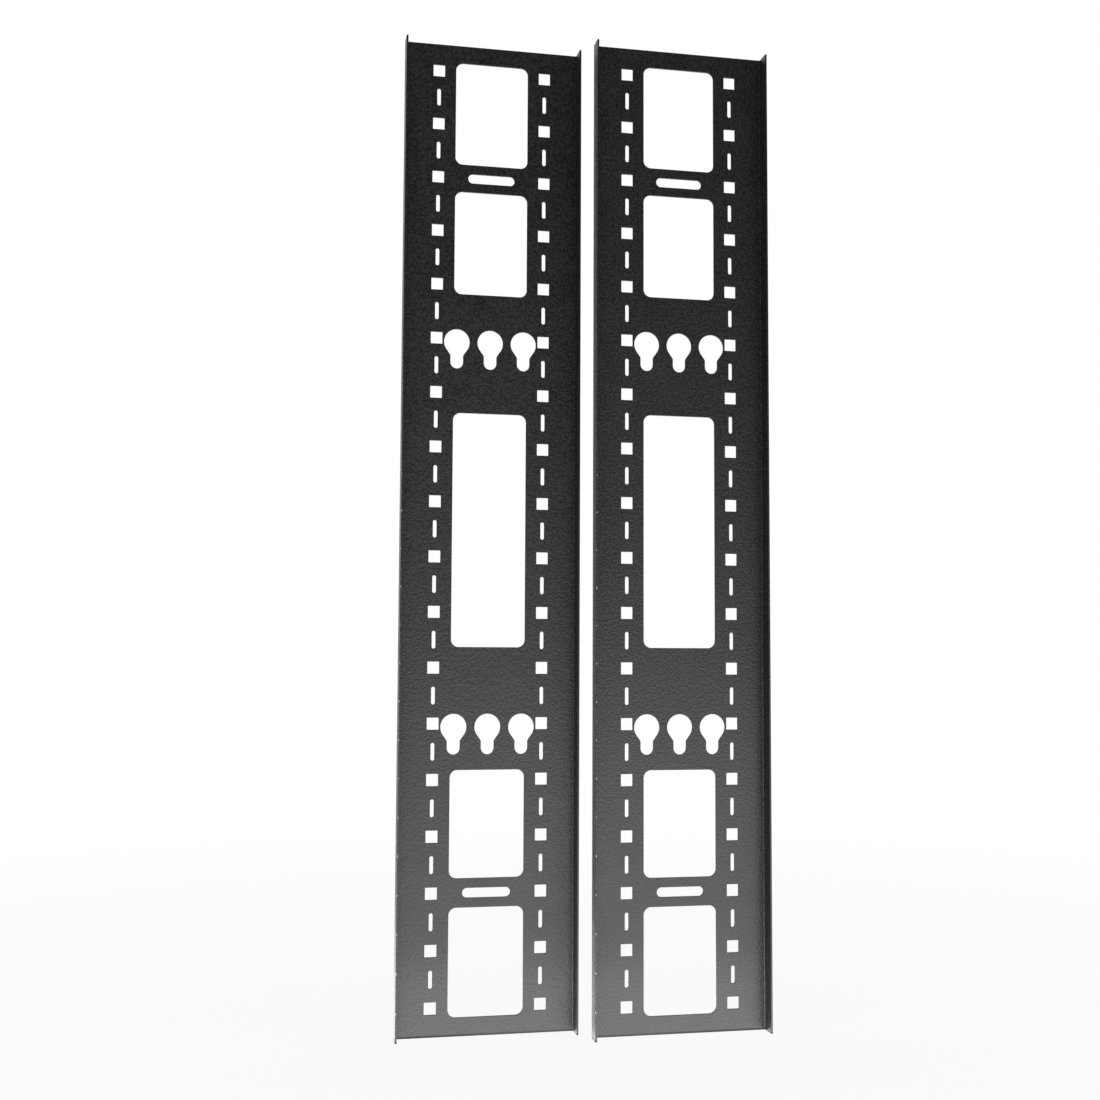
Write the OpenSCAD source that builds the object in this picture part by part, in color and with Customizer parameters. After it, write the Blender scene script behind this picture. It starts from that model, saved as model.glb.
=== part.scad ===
// Vertical cable manager for a server rack: a pair of alike panels, each one
// piece of punched sheet steel folded into a shallow channel.
// Millimetres. Z is up, the webs lie along X, and the flanges point to -Y.
// The origin is under the middle of the pair, on the plane it stands on.

/* [Panel] */
// Height of each panel, in rack units
panel_units = 18; // [16:1:22]
// Height of one rack unit, which is the pitch of all the repeated holes
rack_unit_h = 44.45; // [42:0.05:48]
// Width of a panel, outside to outside of its flanges
panel_w = 145; // [138:0.5:170]
// Depth of the flanges, from the back of the web to their free edges
flange_depth = 15; // [8:0.5:40]
// Thickness of the sheet steel
sheet_t = 1.5; // [0.8:0.1:2.5]
// Inside radius of the two bends
bend_r = 1; // [0.4:0.1:4]

/* [Square holes] */
// Side of a square hole, which takes a cage nut
square_side = 9.5; // [8:0.1:10]
// Distance between the two columns of square holes
column_pitch = 88; // [87:0.5:105]

/* [Tie slots] */
// Width of a tie slot, midway between two square holes
tie_slot_w = 3; // [2:0.1:6]
// Length of a tie slot, end to end
tie_slot_l = 14; // [8:0.5:24]

/* [Windows] */
// Width of the cable windows down the middle of the web
window_w = 60; // [40:0.5:66]
// Height of each of the two windows near either end
window_h = 85; // [60:0.5:92]
// Corner radius of the windows
window_r = 6; // [1:0.5:14]
// Height of the strip between the two windows of a pair
slot_strip_h = 23; // [14:0.5:34]
// Distance from a keyhole row's square holes to the centre window
centre_strip_h = 61; // [40:0.5:80]

/* [Mounting slots] */
// Length of the level slot in each strip, end to end
mount_slot_l = 38.5; // [16:0.5:60]
// Width of the level slot
mount_slot_w = 7.5; // [5:0.1:10]

/* [Keyholes] */
// Number of keyholes side by side in a row
keyholes_in_row = 3; // [1:1:3]
// Distance between the centres of neighbouring keyholes
keyhole_pitch = 27.4; // [24:0.1:28]
// Diameter of the round head that a button passes through
keyhole_head_d = 21; // [16:0.1:22]
// Width of the neck that the button's shank drops into
keyhole_neck_w = 10.4; // [6:0.1:14]
// Distance from the head's centre down to the centre of the neck's round end
keyhole_drop = 16.5; // [15:0.1:20]
// Lean of the straight shoulders from upright
shoulder_lean = 35; // [26:1:45]
// Radius that blends each shoulder into the neck
shoulder_blend_r = 3; // [1:0.1:6]
// How far the head's centre lies below the row's square holes
keyhole_lower = 2.8; // [0:0.1:8]

/* [Pair] */
// Gap between the facing flanges of the two panels
pair_gap = 8; // [1:0.5:200]
// How far the right panel stands in front of the left one
pair_stagger = 24; // [0:0.5:120]

/* [Hidden] */
$fn = 64;
// how far a punch runs past each face of the sheet
overrun = 1;
// how far inside the head circle a keyhole's shoulders start, so that they cross it
shoulder_bite = keyhole_head_d / 1000;
coat = "#2a2a2b";
panel_h = panel_units * rack_unit_h;
pair_pitch = panel_w + pair_gap;
pair_depth = pair_stagger + flange_depth;
// the square holes, counted from either end, that the slots and keyholes stand level with
mount_slot_hole = 3;
keyhole_row_hole = 6;
centre_window_h = panel_h - 2 * (hole_level(keyhole_row_hole) + centre_strip_h);

// height of the square hole counted from the bottom, 1 being the lowest
function hole_level(count) = (count - 1 / 2) * rack_unit_h;
// the same level from the bottom and from the top
function level_pair(count) = [hole_level(count), panel_h - hole_level(count)];
// the point at the given distance and angle from a centre
function polar(centre, r, angle) = centre + r * [cos(angle), sin(angle)];

// an upright slot with full round ends
module slot_shape(w, l) {
    square([w, l - w], center = true);
    for (end = [-1, 1])
        translate([0, end * (l - w) / 2])
            circle(d = w);
}

// a rectangle with round corners
module window_shape(w, h, r) {
    square([w - 2 * r, h], center = true);
    square([w, h - 2 * r], center = true);
    for (sx = [-1, 1], sz = [-1, 1])
        translate([sx * (w / 2 - r), sz * (h / 2 - r)])
            circle(r = r);
}

// One side of a keyhole below its head, from the centre line out: the
// shoulder leaves the head circle along its tangent, turns through a blend
// arc that is tangent to both, and runs down as the neck's side.
function keyhole_flank(steps = 12) =
    let(
        neck_r = keyhole_neck_w / 2,
        leave = polar([0, 0], keyhole_head_d / 2 - shoulder_bite, -shoulder_lean),
        run = (leave.x - neck_r) / sin(shoulder_lean),
        corner = leave - run * [sin(shoulder_lean), cos(shoulder_lean)],
        tangent_l = shoulder_blend_r * tan(shoulder_lean / 2),
        blend = [neck_r + shoulder_blend_r, corner.y - tangent_l]
    )
    [
        leave,
        for (i = [0 : steps])
            polar(blend, shoulder_blend_r, 180 - shoulder_lean * (1 - i / steps)),
        [neck_r, -keyhole_drop]
    ];

// a light-bulb shaped keyhole, its head centred on the origin and its neck down
module keyhole_shape() {
    flank = keyhole_flank();
    circle(d = keyhole_head_d);
    polygon([
        for (p = flank) p,
        for (i = [len(flank) - 1 : -1 : 0]) [-flank[i].x, flank[i].y]
    ]);
    translate([0, -keyhole_drop])
        circle(d = keyhole_neck_w);
}

module square_holes() {
    for (side = [-1, 1], count = [1 : panel_units])
        translate([side * column_pitch / 2, hole_level(count)])
            square(square_side, center = true);
}

module tie_slots() {
    for (side = [-1, 1], count = [1 : panel_units - 1])
        translate([side * column_pitch / 2, count * rack_unit_h])
            slot_shape(tie_slot_w, tie_slot_l);
}

module windows() {
    for (level = level_pair(mount_slot_hole), side = [-1, 1])
        translate([0, level + side * (window_h + slot_strip_h) / 2])
            window_shape(window_w, window_h, window_r);
    translate([0, panel_h / 2])
        window_shape(window_w, centre_window_h, window_r);
}

module mounting_slots() {
    for (level = level_pair(mount_slot_hole))
        translate([0, level])
            rotate(90)
                slot_shape(mount_slot_w, mount_slot_l);
}

module keyholes() {
    for (level = level_pair(keyhole_row_hole), i = [0 : keyholes_in_row - 1])
        translate([(i - (keyholes_in_row - 1) / 2) * keyhole_pitch, level - keyhole_lower])
            keyhole_shape();
}

// a shape w wide that reaches d forward of the X axis, its two rear corners round
module fold_shape(w, d, r) {
    translate([-w / 2, -d])
        square([w, d - r]);
    translate([r - w / 2, -r])
        square([w - 2 * r, r]);
    for (side = [-1, 1])
        translate([side * (w / 2 - r), -r])
            circle(r = r);
}

// the folded sheet before it is punched, its web's back face on the XZ plane
module channel() {
    linear_extrude(height = panel_h)
        difference() {
            fold_shape(panel_w, flange_depth, bend_r + sheet_t);
            translate([0, -sheet_t])
                fold_shape(panel_w - 2 * sheet_t, flange_depth, bend_r);
        }
}

// one panel, its web's back face on the XZ plane and its foot on the XY plane
module panel() {
    difference() {
        channel();
        translate([0, overrun, 0])
            rotate([90, 0, 0])
                linear_extrude(height = sheet_t + 2 * overrun) {
                    square_holes();
                    tie_slots();
                    windows();
                    mounting_slots();
                    keyholes();
                }
    }
}

module left_panel() {
    color(coat)
        translate([-pair_pitch / 2, pair_depth / 2, 0])
            panel();
}

module right_panel() {
    color(coat)
        translate([pair_pitch / 2, pair_depth / 2 - pair_stagger, 0])
            panel();
}

left_panel();
right_panel();
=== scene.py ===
import bpy
import math
from mathutils import Matrix, Vector


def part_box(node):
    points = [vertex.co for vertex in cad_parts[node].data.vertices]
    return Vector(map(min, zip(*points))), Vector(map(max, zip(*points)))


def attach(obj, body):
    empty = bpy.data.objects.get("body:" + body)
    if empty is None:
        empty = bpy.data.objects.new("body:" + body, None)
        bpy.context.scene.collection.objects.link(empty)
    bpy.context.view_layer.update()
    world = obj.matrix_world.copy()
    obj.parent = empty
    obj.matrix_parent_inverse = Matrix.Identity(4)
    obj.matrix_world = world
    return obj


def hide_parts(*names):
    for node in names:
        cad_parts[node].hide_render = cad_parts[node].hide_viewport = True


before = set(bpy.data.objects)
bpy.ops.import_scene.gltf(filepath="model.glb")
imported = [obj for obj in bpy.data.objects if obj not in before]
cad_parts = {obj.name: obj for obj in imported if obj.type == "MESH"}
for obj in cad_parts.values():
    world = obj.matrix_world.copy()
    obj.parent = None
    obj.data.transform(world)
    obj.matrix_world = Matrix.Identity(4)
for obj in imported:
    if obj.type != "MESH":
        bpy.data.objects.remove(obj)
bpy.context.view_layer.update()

# --- The camera -------------------------------------------------------------
# It stands a little over a metre in front of the pair, low down and to the
# left, and looks slightly upward with a 47 mm lens on a 36 mm sensor.
camera_data = bpy.data.cameras.new("camera")
camera_data.lens = 47.291
camera_data.sensor_width = 36.0
camera = bpy.data.objects.new("camera", camera_data)
camera_place = (-0.26019, -1.13301, 0.30011)
camera.matrix_world = (Matrix.Translation(camera_place)
                       @ Matrix.Rotation(math.radians(-11.5), 4, "Z")
                       @ Matrix.Rotation(math.radians(94.12), 4, "X")
                       @ Matrix.Rotation(math.radians(0.26), 4, "Z"))
bpy.context.scene.collection.objects.link(camera)
bpy.context.scene.camera = camera


# --- The left panel ---------------------------------------------------------
# One piece of 1.5 mm sheet steel, punched flat and folded into a channel. The
# punch leaves its rims sharp, and the black powder coat flows over them and
# rounds them by a fraction of a millimetre.
coat_rounding = 0.00028
merge_distance = 0.00001


def coated_panel(node):
    """A copy of a folded sheet in one skin, with its punched rims rounded."""
    bpy.ops.object.select_all(action="DESELECT")
    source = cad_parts[node]
    panel = source.copy()
    panel.data = source.data.copy()
    panel.name = panel.data.name = node + "_coated"
    panel.parent = None
    for key in list(panel.keys()):
        del panel[key]
    bpy.context.scene.collection.objects.link(panel)
    panel.select_set(True)
    bpy.context.view_layer.objects.active = panel
    bpy.ops.object.mode_set(mode="EDIT")
    bpy.ops.mesh.select_all(action="SELECT")
    bpy.ops.mesh.remove_doubles(threshold=merge_distance)
    bpy.ops.mesh.dissolve_limited(angle_limit=math.radians(0.5))
    bpy.ops.mesh.normals_make_consistent(inside=False)
    bpy.ops.object.mode_set(mode="OBJECT")
    rounding = panel.modifiers.new("coat", "BEVEL")
    rounding.width = coat_rounding
    rounding.segments = 2
    rounding.limit_method = "ANGLE"
    rounding.angle_limit = math.radians(40)
    rounding.use_clamp_overlap = False
    bpy.ops.object.modifier_apply(modifier=rounding.name)
    bpy.ops.object.shade_smooth_by_angle(angle=math.radians(35))
    evened = panel.modifiers.new("evened", "WEIGHTED_NORMAL")
    evened.keep_sharp = True
    evened.weight = 100
    bpy.ops.object.modifier_apply(modifier=evened.name)
    return panel


class Wire:
    """A socket of a material's nodes, which Python's operators can work on."""

    def __init__(self, tree, socket=None):
        self.tree, self.socket = tree, socket

    def node(self, kind, settings=(), out=0, **inputs):
        """Adds a node, sets it up, feeds its inputs and gives its outputs.

        An input's name has _ for a space, and i2 is the third input."""
        made = self.tree.nodes.new(kind)
        for name, value in dict(settings).items():
            setattr(made, name, value)
        for name, value in inputs.items():
            numbered = name[0] == "i" and name[1:].isdigit()
            socket = made.inputs[int(name[1:]) if numbered else name.replace("_", " ")]
            if isinstance(value, Wire):
                self.tree.links.new(value.socket, socket)
            else:
                socket.default_value = value
        if isinstance(out, tuple):
            return [Wire(self.tree, made.outputs[one]) for one in out]
        return Wire(self.tree, made.outputs[out])

    def maths(self, operation, a, b=0.0):
        return self.node("ShaderNodeMath", {"operation": operation}, i0=a, i1=b)

    def __add__(self, other):
        return self.maths("ADD", self, other)

    __radd__ = __add__

    def __mul__(self, other):
        return self.maths("MULTIPLY", self, other)

    __rmul__ = __mul__

    def __rsub__(self, other):
        return self.maths("SUBTRACT", other, self)


def empty_paint(thing):
    """Switches a material's or the world's nodes on and clears them."""
    thing.use_nodes = True
    thing.node_tree.nodes.clear()
    return Wire(thing.node_tree)


# The coat's grain and ripple are a few millimetres and less, its clouds 30 mm.
grain_scale, ripple_scale, cloud_scale = 520.0, 420.0, 35.0
coat_dark = (0.0015, 0.0015, 0.0016, 1)
coat_light = (0.0170, 0.0170, 0.0178, 1)
# The light grey of the specks painted up the flange edge.
speck_grey = (0.32, 0.32, 0.33, 1)

# Small light grey specks, painted in a lighter colour, stand at an even pitch up the front
# edge of the left flange, up to 0.42 m.
speck_pitch = 0.030
speck_size = 0.0009
first_speck = 0.0227
specked_height = 0.42


def powder_coat(name, specked_edge):
    """Semi-matte black powder coat: fine grain, a shallow ripple, light specks along one
    edge.
    """
    material = bpy.data.materials.new(name)
    start = empty_paint(material)
    place = start.node("ShaderNodeTexCoord", out=3)
    pebbles = start.node("ShaderNodeTexNoise", Vector=place, Scale=grain_scale, Detail=1.0)
    grain = start.node("ShaderNodeMapRange", i0=pebbles, i1=0.36, i2=0.64)
    ripple = start.node("ShaderNodeTexNoise", Vector=place, Scale=ripple_scale, Detail=1.0)
    cloud = start.node("ShaderNodeTexNoise", Vector=place, Scale=cloud_scale, Detail=3.0)
    coat = start.node("ShaderNodeMix", {"data_type": "RGBA"}, out=2,
                      i0=0.2 * cloud + 0.8 * grain, i6=coat_dark, i7=coat_light)
    # The specks: small squares of light grey painted along the left flange's front edge, at
    # an even pitch, below 0.42 m.
    apart = start.node("ShaderNodeVectorMath", {"operation": "SUBTRACT"},
                       i0=place, i1=specked_edge)
    sideways, inwards, upwards = start.node("ShaderNodeSeparateXYZ", out=(0, 1, 2), i0=apart)
    along = start.maths("PINGPONG", upwards, 0.5 * speck_pitch)
    off_edge = start.maths("MAXIMUM", start.maths("ABSOLUTE", sideways),
                           start.maths("ABSOLUTE", inwards))
    reach = (speck_size * (0.3 + cloud)
             * start.maths("LESS_THAN", upwards, specked_height))
    speck = start.maths("LESS_THAN", start.maths("MAXIMUM", along, off_edge), reach)
    specked_coat = start.node("ShaderNodeMix", {"data_type": "RGBA"}, out=2,
                         i0=speck, i6=coat, i7=speck_grey)
    bump = start.node("ShaderNodeBump", Height=grain * 0.6 + ripple * 0.4,
                      Strength=0.50, Distance=0.00022)
    shader = start.node("ShaderNodeBsdfPrincipled", Base_Color=specked_coat,
                        Roughness=0.36 + 0.10 * cloud + 0.06 * grain, Normal=bump,
                        Metallic=0.0, IOR=1.5, Specular_IOR_Level=0.66)
    start.node("ShaderNodeOutputMaterial", out=(), Surface=shader)
    return material


def finished(node, name):
    """The coated copy of one channel, with its paint and its ties to the CAD."""
    panel = coated_panel(node)
    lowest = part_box(node)[0]
    panel.data.materials.clear()
    panel.data.materials.append(powder_coat(name, (lowest[0], lowest[1], first_speck)))
    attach(panel, "root")
    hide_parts(node)


finished("left_panel", "left_powder_coat")

# --- The right panel --------------------------------------------------------
# The same channel again, standing beside the first and a little in front. It
# has the same coat, with the light grey specks on its own left flange.
finished("right_panel", "right_powder_coat")

# --- The floor --------------------------------------------------------------
# A plain pale sheet that the pair stands on. It shows as white, and round the
# pair it keeps a faint share of their shadow.
floor_width = 30.0
near, far_off = 0.2, 1.5
white_near = 0.92

bpy.ops.object.select_all(action="DESELECT")
bpy.ops.mesh.primitive_plane_add(size=floor_width, location=(0, 0, 0))
floor = bpy.context.object
floor.name = "floor"
floor_paint = bpy.data.materials.new("floor_paint")
floor_paint.cycles.emission_sampling = "NONE"
begin = empty_paint(floor_paint)
by_camera, by_gloss, by_glass = begin.node(
    "ShaderNodeLightPath", out=("Is Camera Ray", "Is Glossy Ray", "Is Transmission Ray"))
seen = begin.maths("MAXIMUM", begin.maths("MAXIMUM", by_camera, by_gloss), by_glass)
spot = begin.node("ShaderNodeTexCoord", out=3)
distance = begin.node("ShaderNodeVectorMath", {"operation": "LENGTH"}, out=1, i0=spot)
white_share = begin.node("ShaderNodeMapRange", {"interpolation_type": "SMOOTHSTEP"},
                         i0=distance, i1=near, i2=far_off, i3=white_near, i4=1.0)
matt = begin.node("ShaderNodeBsdfDiffuse", Color=(0.9, 0.9, 0.9, 1))
white = begin.node("ShaderNodeEmission", Color=(1, 1, 1, 1), Strength=1.0)
surface = begin.node("ShaderNodeMixShader", Fac=seen * white_share, i1=matt, i2=white)
begin.node("ShaderNodeOutputMaterial", out=(), Surface=surface)
floor.data.materials.append(floor_paint)

# --- The studio -------------------------------------------------------------
# White behind the pair, a dim room round it, soft light from above, and light
# tables on the floor that make the panels' feet brighter than their heads.
room_level = 0.08

world = bpy.data.worlds.new("studio")
bpy.context.scene.world = world
world.cycles.sampling_method = "NONE"
sky = empty_paint(world)
by_camera, by_gloss, by_glass = sky.node(
    "ShaderNodeLightPath", out=("Is Camera Ray", "Is Glossy Ray", "Is Transmission Ray"))
mirrored = sky.maths("MAXIMUM", by_gloss, by_glass)
ray_way = sky.node("ShaderNodeTexCoord", out=0)
backwards = sky.node("ShaderNodeSeparateXYZ", out=1, i0=ray_way)
behind = sky.node("ShaderNodeMapRange", {"interpolation_type": "SMOOTHSTEP"},
                  i0=backwards, i1=0.3, i2=0.9, i3=0.0, i4=1.0)
level = by_camera + (1 - by_camera) * (mirrored * behind + (1 - mirrored) * room_level)
back = sky.node("ShaderNodeBackground", Color=(1, 1, 1, 1), Strength=level)
sky.node("ShaderNodeOutputWorld", out=(), Surface=back)


def softbox(name, place, towards, size, watts):
    """A rectangle of soft light that points at a spot and isn't seen itself."""
    data = bpy.data.lights.new(name, "AREA")
    data.shape = "RECTANGLE"
    data.size, data.size_y = size
    data.energy = watts
    lamp = bpy.data.objects.new(name, data)
    lamp.location = place
    aim = Vector(towards) - lamp.location
    lamp.rotation_euler = aim.to_track_quat("-Z", "Y").to_euler()
    lamp.visible_camera = False
    bpy.context.scene.collection.objects.link(lamp)


table_height = 0.0002
softbox("table", (0.0, 0.0, table_height), (0.0, 0.0, 1.0), (1.0, 0.8), 3.6)
softbox("wide_table", (0.4, -0.3, table_height), (0.4, -0.3, 1.0), (2.4, 1.6), 20.0)
softbox("low_front", (0.2, -0.9, 0.03), (0.0, 0.0, 0.2), (0.8, 0.06), 1.3)
softbox("overhead", (0.0, 0.0, 2.4), (0.0, 0.0, 0.4), (1.4, 1.4), 30.0)

bpy.context.scene.view_settings.view_transform = "Standard"
